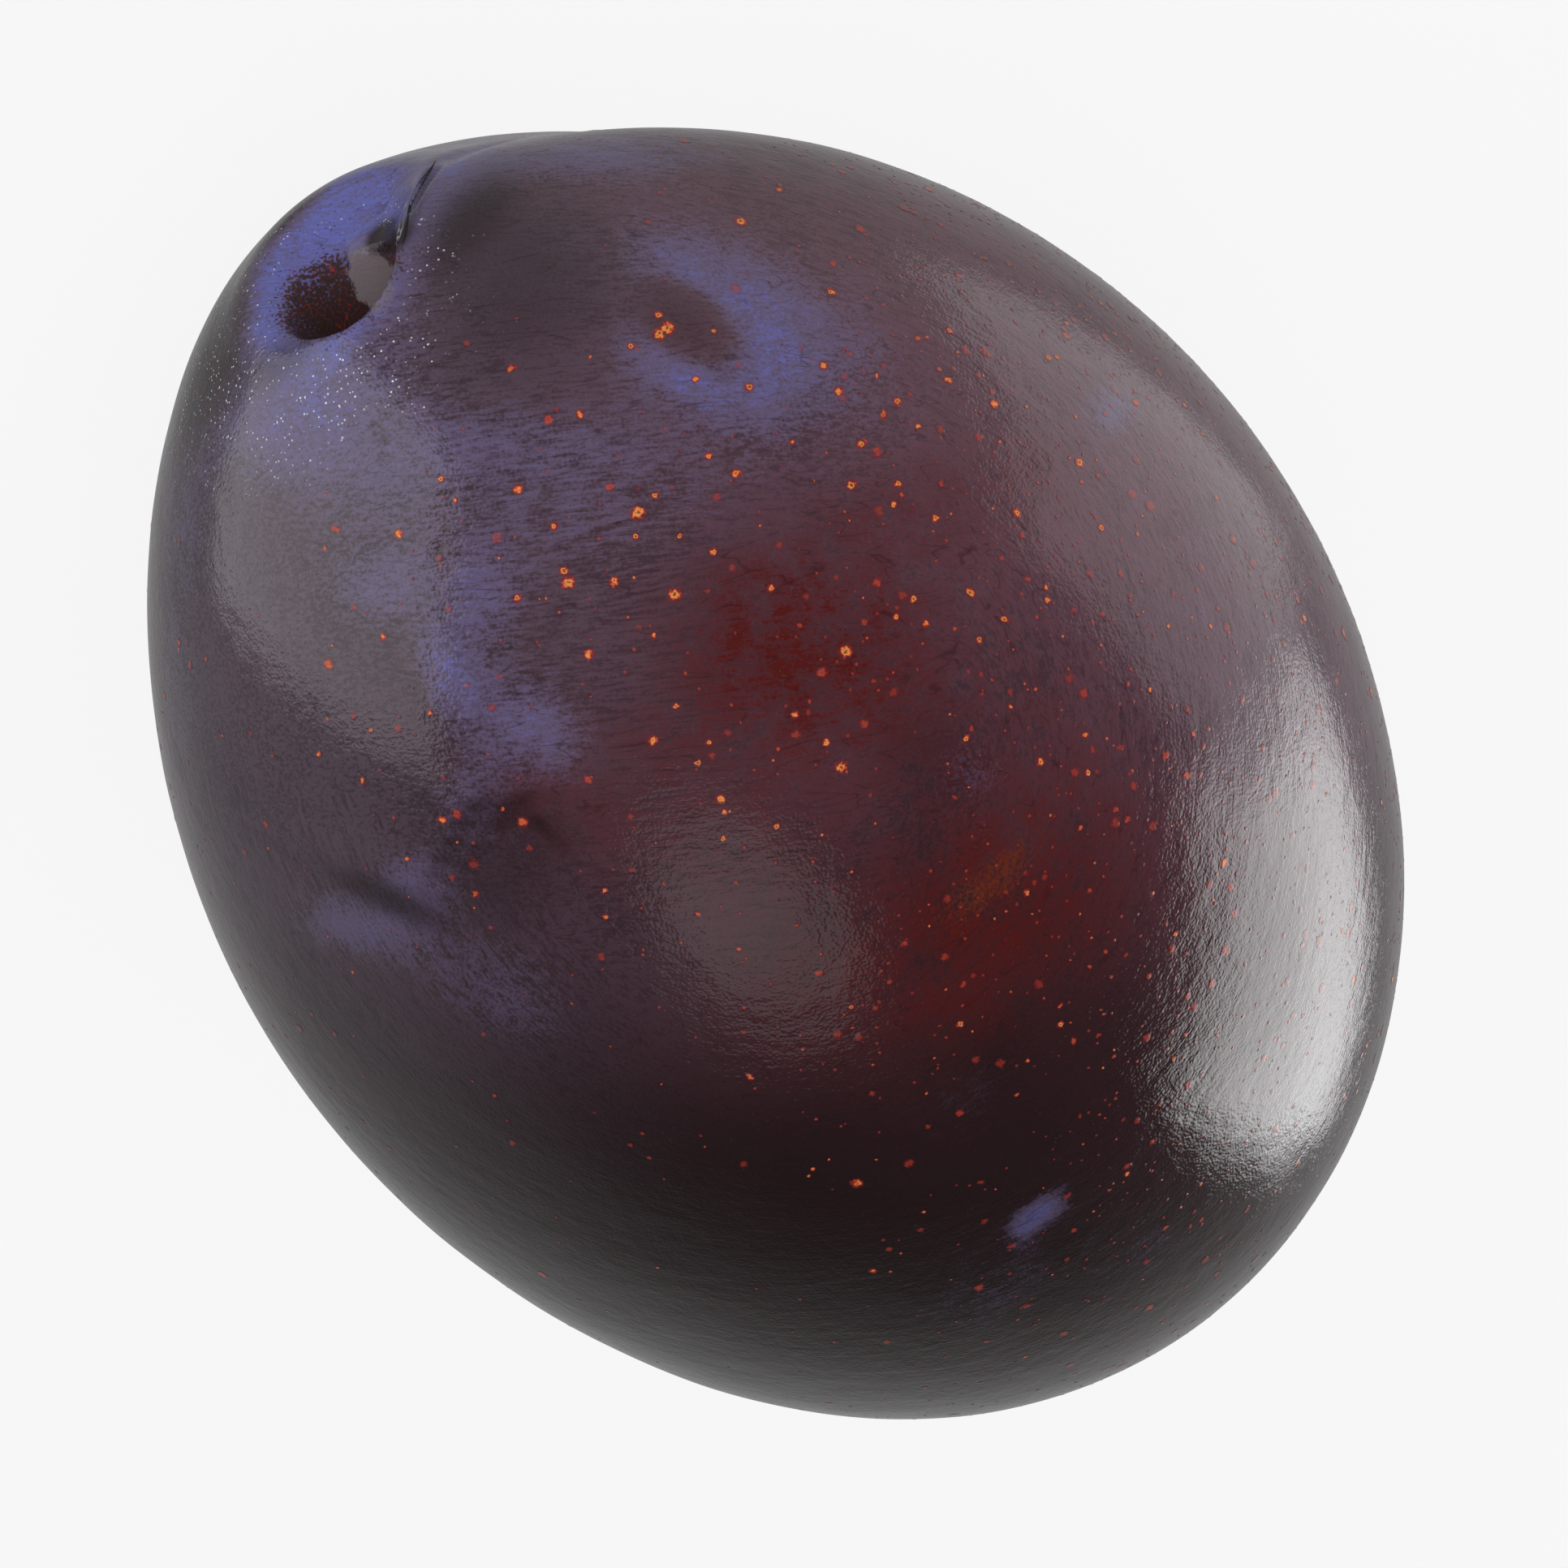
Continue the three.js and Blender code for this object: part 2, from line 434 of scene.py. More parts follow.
# What is painted on the skin. A patch is the x and y of its middle in the photograph's pixels, its half
# length and half width in pixels, the turn of its length from the image's right edge downwards in
# degrees, and its strength, which is below 0 where it takes away. Washes go right round the fruit, and
# marks only show on the side that faces the photograph's camera.
WASHES = {
    "level": [(600, 620, 440, 340, -10, 1.6), (880, 900, 260, 260, 0, 1.2)],
    # The veil is thin rubbed bloom and, in places, painted sheen: the washes on the left and the one in the
    # upper right also paint the soft grey haze of the lamps' reflections.
    "veil": [
        (900, 520, 860, 450, 20, 0.9), (300, 760, 190, 420, -5, 0.6), (370, 1010, 210, 300, -20, 0.45),
        (740, 780, 220, 180, 0, 0.2), (620, 1150, 260, 180, 20, 0.45), (1420, 640, 340, 130, 57, 0.8),
    ],
    "rosy": [(1270, 510, 430, 250, 42, 0.8), (900, 240, 300, 60, 8, 0.4)],
    "bloom": [
        (405, 325, 165, 120, -52, 1.3), (325, 264, 150, 24, -46, -1.9), (246, 445, 34, 130, 14, -1.9),
        (680, 198, 170, 32, -3, 0.75), (225, 640, 30, 110, 0, 0.4), (215, 860, 26, 110, 0, 0.35),
        (1430, 660, 290, 80, 57, 0.2),
    ],
    "warm": [
        (1150, 660, 480, 420, 35, 1.0), (1050, 1100, 420, 260, 20, 0.7), (760, 1010, 200, 120, 15, 0.5),
    ],
    "glow": [(1010, 800, 230, 180, 20, 0.35), (1200, 1120, 260, 170, -20, 0.35)],
    "ember": [],
    "shade": [
        (950, 1560, 900, 250, 25, 0.42), (246, 430, 30, 130, 16, 0.8), (322, 262, 150, 22, -46, 1.0),
        (345, 445, 70, 22, -35, 0.55), (1150, 1400, 300, 90, -12, 0.4),
    ],
    "speckle": [
        (1330, 520, 420, 190, 50, 1.0), (1250, 950, 330, 520, 0, 0.6), (1480, 1150, 250, 480, 15, 0.8),
        (800, 850, 620, 620, 0, 0.2), (400, 360, 260, 190, -45, -1.5),
    ],
    "wax": [(370, 480, 190, 100, -25, 0.85), (508, 300, 76, 110, -40, 0.5), (290, 360, 60, 190, 30, 0.6)],
    "pith": [],
}
MARKS = {
    "level": [],
    "rosy": [(985, 800, 130, 90, 20, -0.6), (1225, 1120, 190, 120, -32, -0.6)],
    "veil": [
        (845, 400, 62, 36, 35, -0.4), (1040, 455, 170, 130, 0, 0.6), (700, 740, 150, 110, 0, 0.25),
        (985, 800, 130, 90, 20, -0.5), (1225, 1120, 190, 120, -32, -0.6),
    ],
    "bloom": [
        (360, 520, 100, 56, -22, 0.62), (470, 560, 110, 60, -10, 0.4), (420, 700, 120, 130, 10, 0.2),
        (565, 240, 75, 36, -52, 0.9), (535, 335, 55, 26, -55, 0.5), (880, 396, 165, 94, 30, 0.9),
        (800, 325, 56, 30, 15, 0.6), (820, 455, 80, 26, 25, 0.6), (1030, 450, 120, 110, 0, 0.3),
        (690, 600, 230, 120, -8, 0.38), (640, 545, 130, 40, 5, 0.25), (592, 740, 48, 62, 0, 0.55),
        (480, 720, 50, 42, -10, 0.5), (555, 830, 34, 62, -15, 0.75), (650, 890, 80, 58, 35, 0.62),
        (580, 990, 42, 66, 10, 0.5), (515, 1090, 48, 42, 0, 0.62), (445, 1140, 80, 38, 12, 0.62),
        (590, 1200, 95, 62, 15, 0.36), (650, 1260, 70, 45, 15, 0.2), (1280, 1494, 40, 17, -35, 0.9),
        (1260, 1514, 20, 13, -70, 0.6), (1195, 1345, 70, 28, -30, 0.3), (1225, 1590, 90, 45, -20, 0.3),
        (1405, 1540, 60, 26, -25, 0.25), (1372, 505, 26, 30, 20, 0.5), (1195, 945, 45, 60, 0, 0.28),
        (950, 720, 60, 260, 25, -0.5), (843, 396, 58, 31, 35, -1.9), (650, 350, 115, 110, -20, -1.3),
        (470, 420, 45, 18, -45, -0.3),
    ],
    "warm": [(860, 400, 80, 50, 35, 0.35), (900, 250, 220, 50, 8, 0.35)],
    "glow": [
        (985, 805, 135, 100, 20, 1.1), (1225, 1120, 165, 95, -32, 0.72), (1180, 1255, 50, 30, 10, 0.6),
        (1150, 620, 120, 50, -15, 0.45), (870, 930, 150, 70, 5, 0.45), (700, 990, 100, 40, 20, 0.35),
        (850, 1050, 170, 80, 0, 0.25), (1250, 900, 130, 120, 0, 0.3), (1100, 700, 150, 60, 10, 0.25),
        (960, 1240, 60, 60, 0, 0.15),
    ],
    "ember": [
        (1215, 1095, 80, 30, -38, 0.75), (1265, 1030, 80, 24, -40, 0.35), (1005, 735, 60, 40, 0, 0.25),
    ],
    "shade": [
        (620, 1060, 88, 72, -25, 0.35), (562, 1030, 62, 9, -58, 0.6), (585, 1050, 60, 7, -55, 0.45),
        (622, 990, 46, 9, -10, 0.6), (636, 1012, 50, 7, 0, 0.45), (672, 1022, 34, 8, 45, 0.5),
        (478, 292, 24, 14, -30, 2.0), (519, 240, 50, 7, 110, 0.5), (843, 396, 50, 28, 35, 0.3),
        (578, 268, 70, 34, -50, 0.6), (480, 1108, 66, 16, 25, 0.75), (430, 940, 120, 75, 10, 0.12),
        (640, 350, 110, 110, -20, 0.45), (1150, 930, 70, 60, 20, 0.35), (1310, 1300, 180, 110, -20, 0.5),
        (255, 455, 40, 16, -15, 0.5),
    ],
    "speckle": [(620, 650, 200, 120, 10, 0.12)],
    "wax": [],
    "pith": [(455, 334, 22, 42, -25, 1.4)],
}
# What the side turned away from the camera has more or less of
AWAY = {"veil": 0.5, "rosy": 0.25, "warm": 0.4, "bloom": 0.3, "shade": -0.8, "speckle": 0.3}
AWAY_FADE = (0.0, 0.5)  # cosines of the angle away from the camera between which it comes in
FACING_FADE = (0.02, 0.16)  # cosines of the angle to the camera between which the marks come in
PIT_EDGE = (0.7, 1.28)  # pit radii between which the bare flesh of the pit begins
PATCH_FALL = 0.7  # how fast a patch fades past its half length and half width
PATCH_FLATNESS = 2.6  # 2 would be a plain bell, and more is flatter in the middle


def patch_share(across, down, patch):
    """How much of a patch is at each pixel."""
    x, y, long, wide, turn, strength = patch
    ahead, side = math.cos(math.radians(turn)), math.sin(math.radians(turn))
    off_long = ((across - x) * ahead + (down - y) * side) / long
    off_wide = ((down - y) * ahead - (across - x) * side) / wide
    off = np.hypot(off_long, off_wide)
    return np.clip(strength * np.exp(-PATCH_FALL * off ** PATCH_FLATNESS), -1, 1)


def laid(paint, share):
    """Adds a share of paint over what is there, or rubs some away."""
    return np.where(share > 0, 1 - (1 - paint) * (1 - share), paint * (1 + share))


def paint(piece, middle):
    """Stores how much of each tint, wax and mark is at every vertex of a piece."""
    points = points_of(piece).astype(float)
    across, down = pixels_of(points, middle)
    to_camera = np.array(camera_place(middle)) - points
    to_camera /= np.linalg.norm(to_camera, axis=1)[:, None]
    facing = (points_of(piece, "normal") * to_camera).sum(1)
    seen = ramp(facing, *FACING_FADE)
    for name, patches in WASHES.items():
        amount = np.zeros(len(points))
        for patch in patches:
            amount = laid(amount, patch_share(across, down, patch))
        for patch in MARKS[name]:
            amount = laid(amount, patch_share(across, down, patch) * seen)
        amount = laid(amount, AWAY.get(name, 0) * ramp(-facing, *AWAY_FADE))
        store(piece, name, amount)
    y, z = (points - np.array(middle)).T[1:]
    y0, z0, lean, radius_y, radius_z = PIT
    share = np.hypot((y - y0) / radius_y, (z - z0 - lean * (y - y0)) / radius_z)
    ahead = points[:, 0] > middle[0]
    store(piece, "pit", np.where(ahead, 1 - ramp(share, *PIT_EDGE), 0))


def ramp(value, low, high):
    """A smooth step from 0 at low to 1 at high."""
    share = np.clip((value - low) / (high - low), 0, 1)
    return share * share * (3 - 2 * share)


def store(piece, name, values):
    """Keeps one number for each vertex of a piece under a name."""
    attributes = piece.data.attributes
    if name in attributes:
        attributes.remove(attributes[name])
    kept = attributes.new(name, "FLOAT", "POINT")
    kept.data.foreach_set("value", np.asarray(values, np.float32))


# Finishes

FIBRE_STRETCH = 8.0  # the skin's fibres are this much longer than they are thick
FIBRE_RISE = 7  # degrees that the level fibres rise to the right in the photograph
SWIRL_RADIUS = 19 * MM  # how far out the swirling fibres keep their length
SWIRL_CORE = 6 * MM  # nearer than this to the swirl's axis they shorten
FLAKE_SIZE = 0.15  # millimetres across a loose flake of wax, and across a pore in the bloom
GRAIN_DEPTH = 0.03 * MM  # how deep the finest grain and streaks of the skin look
REFRACTION = 1.45  # refractive index of wax, skin, cork and dried flesh
NOISES = [
    # name, size in millimetres, octaves past the first, their strength, distortion, along the fibres
    ("cloud", 5.0, 1.0, 0.55, 0.0, False),
    ("mottle", 1.1, 2.0, 0.7, 0.0, False),
    ("grain", 0.1, 0.0, 0.5, 0.0, False),
    ("web", 0.25, 0.0, 0.5, 0.0, False),
    ("streak", 0.12, 2.0, 0.7, 0.0, True),
    ("fibre", 0.6, 1.0, 0.6, 0.6, True),
]


def along_fibres(tree, place):
    """Two places to look up a stretched pattern: along level fibres, and along fibres that swirl.

    The skin's fibres lie nearly level round the stalk end and in the middle of the photograph, and
    elsewhere follow the fruit's outline in it."""
    middle = (CAD_LOW + CAD_HIGH) / 2
    centred = add(tree, "ShaderNodeVectorMath", {"operation": "SUBTRACT"}, {0: place, 1: tuple(middle)})
    turn = {"Vector": centred.outputs[0], "Rotation": Matrix(view_axes()).transposed().to_euler()}
    settings = {"rotation_type": "EULER_XYZ", "invert": True}
    turned = first(tree, "ShaderNodeVectorRotate", settings, turn)
    x, y, z = add(tree, "ShaderNodeSeparateXYZ", links={0: turned}).outputs
    ahead, side = math.cos(math.radians(FIBRE_RISE)), math.sin(math.radians(FIBRE_RISE))
    long = formula(tree, f"(x * {ahead} + y * {side}) / {FIBRE_STRETCH}", x=x, y=y)
    wide = formula(tree, f"y * {ahead} - x * {side}", x=x, y=y)
    level = first(tree, "ShaderNodeCombineXYZ", links={0: long, 1: wide, 2: z})
    out = formula(tree, "sqrt(x * x + y * y)", x=x, y=y)
    arc = formula(tree, f"atan2(out, z) * {SWIRL_RADIUS}", out=out, z=z)
    shorten = formula(tree, f"{SWIRL_RADIUS / FIBRE_STRETCH} / max(out, {SWIRL_CORE})", out=out)
    ends = [formula(tree, "end * shorten", end=end, shorten=shorten) for end in (x, y)]
    swirl = first(tree, "ShaderNodeCombineXYZ", links={0: arc, 1: ends[0], 2: ends[1]})
    return level, swirl


def skin_material(colours, corky):
    """Waxy plum skin: near-black, red where it is thin, with blue bloom rubbed off in streaks.

    The same finish with corky set also shows the lenticels: pale orange cork in a ring of red skin."""
    material = bpy.data.materials.new("corky lenticels in plum skin" if corky else "waxy plum skin")
    tree = cleared(material)
    place = add(tree, "ShaderNodeTexCoord").outputs["Object"]
    known = {}
    for name in (*WASHES, "pit", "cork", "tone"):
        known[name] = add(tree, "ShaderNodeAttribute", {"attribute_name": name}).outputs["Fac"]
    level, swirl = along_fibres(tree, place)
    for name, size, detail, roughness, distortion, stretched in NOISES:
        links = {"Vector": along if stretched else place, "Scale": per(size), "Detail": detail}
        links.update({"Roughness": roughness, "Distortion": distortion})
        known[name] = first(tree, "ShaderNodeTexNoise", links=links)
        if name == "mottle":
            chosen = formula(tree, "above(level + 1.5 * (mottle - 0.5), 0.5)", **known)
            either = {0: chosen, 4: swirl, 5: level}
            along = add(tree, "ShaderNodeMix", {"data_type": "VECTOR"}, either).outputs[1]
    cells = {"Vector": place, "Scale": per(FLAKE_SIZE)}
    flakes = add(tree, "ShaderNodeTexVoronoi", links=cells)
    known["flake"], tint = flakes.outputs["Distance"], flakes.outputs["Color"]
    known["chance"] = first(tree, "ShaderNodeSeparateColor", links={0: tint})

    known["net"] = formula(tree, "1 - smoothstep(max(web - 0.5, 0.5 - web), 0, 0.05)", **known)
    known["fine"] = formula(tree, "streak + 0.3 * mottle + 0.3 * grain + 0.3 * cloud - 0.91", **known)
    known["rough_bloom"] = formula(
        tree, "bloom + 0.75 * (streak - 0.5) + 0.5 * (mottle - 0.5) + 0.4 * (grain - 0.5)", **known
    )
    shares = {
        "warm": "warm * smoothstep(cloud + 0.5 * mottle + 0.3 * grain, 0.4, 1.15)",
        # Thin bloom where the veil lies, which also carries its painted sheen
        "thin": "veil * (0.4 + 0.6 * smoothstep(fine, -0.18, 0.18)) * (1 - 0.7 * shade)",
        "rosy": "rosy * (0.3 + 0.7 * smoothstep(fine, -0.15, 0.15)) * (1 - 0.5 * shade)",
        "red": "min(glow * (0.15 + smoothstep(mottle + streak + 0.4 * grain - 0.15 * net, 0.8, 1.5)), 1)",
        "orange": "ember * smoothstep(ember + 1.3 * streak + 0.9 * grain - 0.2 * net, 1.4, 2.4)",
        "film": "0.8 * smoothstep(rough_bloom, 0.2, 0.75) * (1 - 0.7 * shade)",
        "thick": "smoothstep(rough_bloom, 0.65, 1.2) * (1 - 0.75 * shade)",
        "lines": "(1 - smoothstep(max(fibre - 0.5, 0.5 - fibre), 0, 0.02))"
        " * smoothstep(mottle, 0.4, 0.6) * (1 - pit) * 0.45",
        "pores": "above(0.16, chance) * (1 - smoothstep(flake, 0.1, 0.35))"
        " * smoothstep(bloom, 0.5, 0.9) * 0.6",
        "flesh": "smoothstep(pit + 1.2 * (grain - 0.5) + 0.8 * (mottle - 0.5), 0.25, 0.7)",
        "veins": "pit * smoothstep(net + mottle, 1.2, 1.5)",
        "pale": "pit * smoothstep(pith + 1.8 * (mottle - 0.5) + 0.4 * (grain - 0.5), 0.4, 0.6)",
        # Painted shade: where the shade washes and marks lie, the skin turns towards the dark skin colour
        "dark": "0.9 * shade * smoothstep(shade + 1.5 * (streak - 0.5) + (mottle - 0.5), 0, 0.7)",
        "flakes": "above(chance, 0.45) * (1 - smoothstep(flake - 0.22 * chance, -0.02, 0.08))"
        " * smoothstep(wax - 2 * pit + 1.5 * (mottle - 0.5), 0.35, 0.9)",
    }
    shares = {name: formula(tree, text, **known) for name, text in shares.items()}
    layers = {
        "warm": "warm_skin", "thin": "thin_bloom", "rosy": "rosy_bloom", "red": "red_glow",
        "orange": "ember", "film": "lilac_film", "thick": "bloom", "lines": "dark_skin",
        "pores": "dark_skin", "flesh": "pit_flesh", "veins": "pit_veins", "pale": "pith",
        "dark": "dark_skin", "flakes": "wax",
    }
    if corky:
        known["near"] = formula(tree, "cork + 0.8 * (grain - 0.5) + 0.5 * (streak - 0.5)", **known)
        lenticel = {
            "halo": "smoothstep(near, -0.1, 0.5) * (0.4 + 0.5 * tone)",
            "ring": "smoothstep(near, 0.3, 0.6) * (0.2 + 0.8 * tone)",
            "core": "smoothstep(near, 0.5, 0.72) * smoothstep(tone, 0.4, 1.1)",
            "scar": "smoothstep(near + 0.1 * net, 0.8, 0.95) * 0.8 * tone",
        }
        shares.update((name, formula(tree, text, **known)) for name, text in lenticel.items())
        layers.update((name, "lenticel_" + name) for name in lenticel)
    colour = tuple(colours.dark_skin)
    for name, tint in layers.items():
        mix = {0: shares[name], 6: colour, 7: tuple(getattr(colours, tint))}
        colour = add(tree, "ShaderNodeMix", {"data_type": "RGBA"}, mix).outputs[2]

    known.update(shares)
    rough = formula(tree, "0.08 + 0.06 * mottle + 0.15 * thick + 0.35 * flesh", **known)
    if corky:
        rough = formula(tree, "rough + 0.35 * ring", rough=rough, **known)
    height = formula(tree, "0.9 * mottle + 0.3 * streak + 0.25 * grain + 0.4 * fibre", **known)
    grain = {"Height": height, "Strength": 1.0, "Distance": GRAIN_DEPTH}
    bump = first(tree, "ShaderNodeBump", links=grain)
    look = {"Base Color": colour, "Roughness": rough, "IOR": REFRACTION, "Normal": bump}
    shader = add(tree, "ShaderNodeBsdfPrincipled", links=look)
    add(tree, "ShaderNodeOutputMaterial", links={"Surface": shader.outputs[0]})
    return material


# Lenticels

# The lenticels that stand out: the pixel that each shows at, and its radius in millimetres
CLEAR_LENTICELS = [
    (1253, 632, 0.2), (786, 632, 0.27), (832, 733, 0.26), (700, 718, 0.26), (695, 703, 0.18),
    (757, 717, 0.2), (637, 737, 0.17), (923, 477, 0.2), (1015, 450, 0.2), (1033, 482, 0.2),
    (1061, 547, 0.19), (1049, 597, 0.21), (907, 583, 0.2), (873, 562, 0.15), (1042, 803, 0.26),
    (1036, 945, 0.24), (804, 912, 0.19), (725, 806, 0.2), (879, 680, 0.17), (683, 648, 0.17),
    (638, 603, 0.21), (491, 658, 0.18), (472, 785, 0.15), (545, 1010, 0.17), (457, 900, 0.1),
    (393, 929, 0.12), (1206, 788, 0.15), (1330, 570, 0.21), (1225, 498, 0.2), (1357, 650, 0.17),
    (980, 880, 0.15), (960, 234, 0.17), (913, 273, 0.26), (1024, 360, 0.2), (822, 404, 0.3),
    (812, 412, 0.26), (811, 388, 0.17), (880, 408, 0.12), (777, 427, 0.15), (857, 467, 0.14),
    (543, 590, 0.13), (950, 725, 0.15), (1125, 738, 0.15), (1141, 768, 0.15), (1104, 760, 0.14),
    (833, 870, 0.14), (1018, 915, 0.15), (860, 940, 0.14), (873, 915, 0.13), (805, 783, 0.12),
    (838, 660, 0.13), (783, 661, 0.13), (807, 610, 0.14), (1106, 596, 0.17), (1153, 638, 0.16),
    (1101, 622, 0.14), (1290, 740, 0.15), (1265, 1100, 0.15), (1190, 910, 0.14), (1282, 938, 0.17),
    (1337, 905, 0.15), (1340, 952, 0.14), (976, 545, 0.12), (1131, 525, 0.15), (891, 1033, 0.12),
    (745, 1097, 0.12), (746, 1130, 0.12), (893, 1000, 0.12), (957, 1018, 0.12), (502, 1058, 0.12),
    (1183, 1262, 0.15), (1306, 1262, 0.14), (1002, 1440, 0.1), (1448, 1150, 0.12), (530, 878, 0.1),
]
DISC_SIDES = 8  # corners round a lenticel
DISC_RINGS = 2
LENTICEL_LIFT = 0.006 * MM  # keeps the thin edge of a lenticel just clear of the skin
CORK_FADE = (0.3, 0.75)  # nearness to a lenticel's middle between which it rises to its full height
SLIMNESS = (0.65, 1.1)  # the least and most of a lenticel's breadth over its length
HALO_REACH = 1.15  # radius of a clear lenticel's disc, over that of its cork
TONE_SEED, SPIN_SEED, SLIM_SEED = 5, 7, 9


def lenticel_tree(inputs, material):
    """The rule of the lenticels: low discs of cork that lie on the skin, thickest where it is speckled."""
    tree, given = new_tree("plum lenticels", inputs)
    skin = add(tree, "GeometryNodeObjectInfo", links={"Object": given["Skin"]}).outputs["Geometry"]
    speckle = first(tree, "GeometryNodeInputNamedAttribute", links={"Name": "speckle"})
    density = formula(tree, "most * speckle", most=given["Most per square metre"], speckle=speckle)
    spread = {"Mesh": skin, "Density": density, "Seed": given["Seed"]}
    scattered = add(tree, "GeometryNodeDistributePointsOnFaces", links=spread).outputs["Points"]
    luck = add(tree, "FunctionNodeRandomValue", links={"Seed": given["Seed"]}).outputs[1]
    radii = {"small": given["Small radius"], "large": given["Large radius"]}
    size = formula(tree, "small + (large - small) * luck ** 6", luck=luck, **radii)
    pale = add(tree, "FunctionNodeRandomValue", links={"Seed": TONE_SEED}).outputs[1]
    for name, value in (("disc_radius", size), ("tone", formula(tree, "pale ** 3", pale=pale))):
        stored = {"Geometry": scattered, "Name": name, "Value": value}
        scattered = first(tree, "GeometryNodeStoreNamedAttribute", links=stored)
    clear = first(tree, "GeometryNodeMeshToPoints", links={"Mesh": given["Geometry"]})
    spots = add(tree, "GeometryNodeJoinGeometry")
    tree.links.new(scattered, spots.inputs[0])
    tree.links.new(clear, spots.inputs[0])
    spots = spots.outputs[0]

    disc = lenticel_disc(tree)
    here = first(tree, "GeometryNodeInputPosition")
    out = first(tree, "GeometryNodeInputNormal")
    nearest = {"Mesh": skin, "Value": out, "Sample Position": here}
    vector = {"data_type": "FLOAT_VECTOR"}
    lean = first(tree, "GeometryNodeSampleNearestSurface", vector, nearest)
    upright = first(tree, "FunctionNodeAlignRotationToVector", {"axis": "Z"}, {"Vector": lean})
    spin = add(tree, "FunctionNodeRandomValue", links={"Max": 2 * math.pi, "Seed": SPIN_SEED}).outputs[1]
    turn = first(tree, "FunctionNodeAxisAngleToRotation", links={"Angle": spin})
    both = {"Rotation": upright, "Rotate By": turn}
    facing = first(tree, "FunctionNodeRotateRotation", {"rotation_space": "LOCAL"}, both)
    radius = first(tree, "GeometryNodeInputNamedAttribute", links={"Name": "disc_radius"})
    slimness = {"Min": SLIMNESS[0], "Max": SLIMNESS[1], "Seed": SLIM_SEED}
    slim = add(tree, "FunctionNodeRandomValue", links=slimness).outputs[1]
    width = formula(tree, "radius * slim", radius=radius, slim=slim)
    scale = first(tree, "ShaderNodeCombineXYZ", links={0: radius, 1: width, 2: radius})
    copies = {"Points": spots, "Instance": disc, "Rotation": facing, "Scale": scale}
    discs = first(tree, "GeometryNodeInstanceOnPoints", links=copies)
    real = first(tree, "GeometryNodeRealizeInstances", links={0: discs})

    on_skin = first(tree, "GeometryNodeProximity", {"target_element": "FACES"}, {0: skin})
    cork = first(tree, "GeometryNodeInputNamedAttribute", links={"Name": "cork"})
    low, high = CORK_FADE
    text = f"{LENTICEL_LIFT} + height * smoothstep(cork, {low}, {high})"
    rise = formula(tree, text, height=given["Height"], cork=cork)
    lifted = first(tree, "ShaderNodeVectorMath", {"operation": "SCALE"}, {0: lean, "Scale": rise})
    place = {"Geometry": real, "Position": on_skin, "Offset": lifted}
    lying = first(tree, "GeometryNodeSetPosition", links=place)
    finish_tree(tree, lying, material)
    return tree


def lenticel_disc(tree):
    """A disc of radius 1 in a few rings, which knows how near its middle each point is."""
    sizes = {"Vertices": DISC_SIDES, "Side Segments": DISC_RINGS, "Radius Bottom": 1.0, "Depth": 0.1}
    disc = add(tree, "GeometryNodeMeshCone", {"fill_type": "NONE"}, sizes).outputs["Mesh"]
    here = first(tree, "GeometryNodeInputPosition")
    split = add(tree, "ShaderNodeSeparateXYZ", links={0: here})
    nearness = formula(tree, "max(1 - sqrt(x * x + y * y), 0)", x=split.outputs[0], y=split.outputs[1])
    marked = {"Geometry": disc, "Name": "cork", "Value": nearness}
    return first(tree, "GeometryNodeStoreNamedAttribute", links=marked)


def clear_points(skin, middle):
    """A mesh of loose points on the skin for the lenticels that stand out, each with its radius."""
    tree = BVHTree.FromObject(skin, bpy.context.evaluated_depsgraph_get())
    points = [under_pixel(tree, (x, y), middle) for x, y, _ in CLEAR_LENTICELS]
    mesh = bpy.data.meshes.new("clear lenticels")
    mesh.from_pydata(points, [], [])
    sizes = [radius * HALO_REACH * MM for _, _, radius in CLEAR_LENTICELS]
    for name, values in (("disc_radius", sizes), ("tone", [1.0] * len(sizes))):
        mesh.attributes.new(name, "FLOAT", "POINT").data.foreach_set("value", values)
    return mesh


# The split in the rim

# The slivers of the split: the pixels of the photograph that each runs through, and its half width there
# The gap is near-black partly for the dried flesh inside and partly as painted shade, for the inside of the
# split lies in shade.
SPLIT_GAP = [
    (537, 198, 0.3), (531, 208, 1.4), (524, 218, 2.2), (517, 228, 2.8), (511, 239, 2.8), (506, 251, 2.0),
    (503, 264, 1.5), (501, 277, 1.6), (499, 290, 1.6), (496, 301, 0.4),
]
SPLIT_LIP = [
    (503, 245, 0.3), (499, 256, 1.8), (496, 268, 2.6), (494, 280, 2.8), (491, 292, 2.0), (488, 302, 0.4),
]
SPLIT_LIFT = 0.015 * MM  # keeps the slivers just clear of the skin
SPLIT_STEPS = 6  # pieces between two of those pixels


def sliver(name, course, skin, material):
    """A narrow strip that lies on the skin along a course of pixels."""
    middle = Vector(skin["middle"])
    tree = BVHTree.FromObject(skin, bpy.context.evaluated_depsgraph_get())
    x, y, half = np.array(course).T
    steps = np.arange(len(course))
    fine = np.linspace(0, len(course) - 1, SPLIT_STEPS * (len(course) - 1) + 1)
    x, y, half = (np.interp(fine, steps, values) for values in (x, y, half))
    ahead = np.stack([np.gradient(x), np.gradient(y)])
    side = np.stack([-ahead[1], ahead[0]]) / np.hypot(*ahead)
    to_camera = view_axes()[2] * SPLIT_LIFT
    points = []
    for way in (-1, 1):
        for pixel in zip(x + way * half * side[0], y + way * half * side[1]):
            points.append(under_pixel(tree, pixel, middle) + to_camera)
    count = len(fine)
    faces = [(i, i + 1, count + i + 1, count + i) for i in range(count - 1)]
    mesh = bpy.data.meshes.new(name)
    mesh.from_pydata(points, [], faces)
    mesh.update()
    if mesh.polygons[0].normal.dot(to_camera) < 0:
        mesh.flip_normals()
    mesh.materials.append(material)
    return shown(name, mesh)


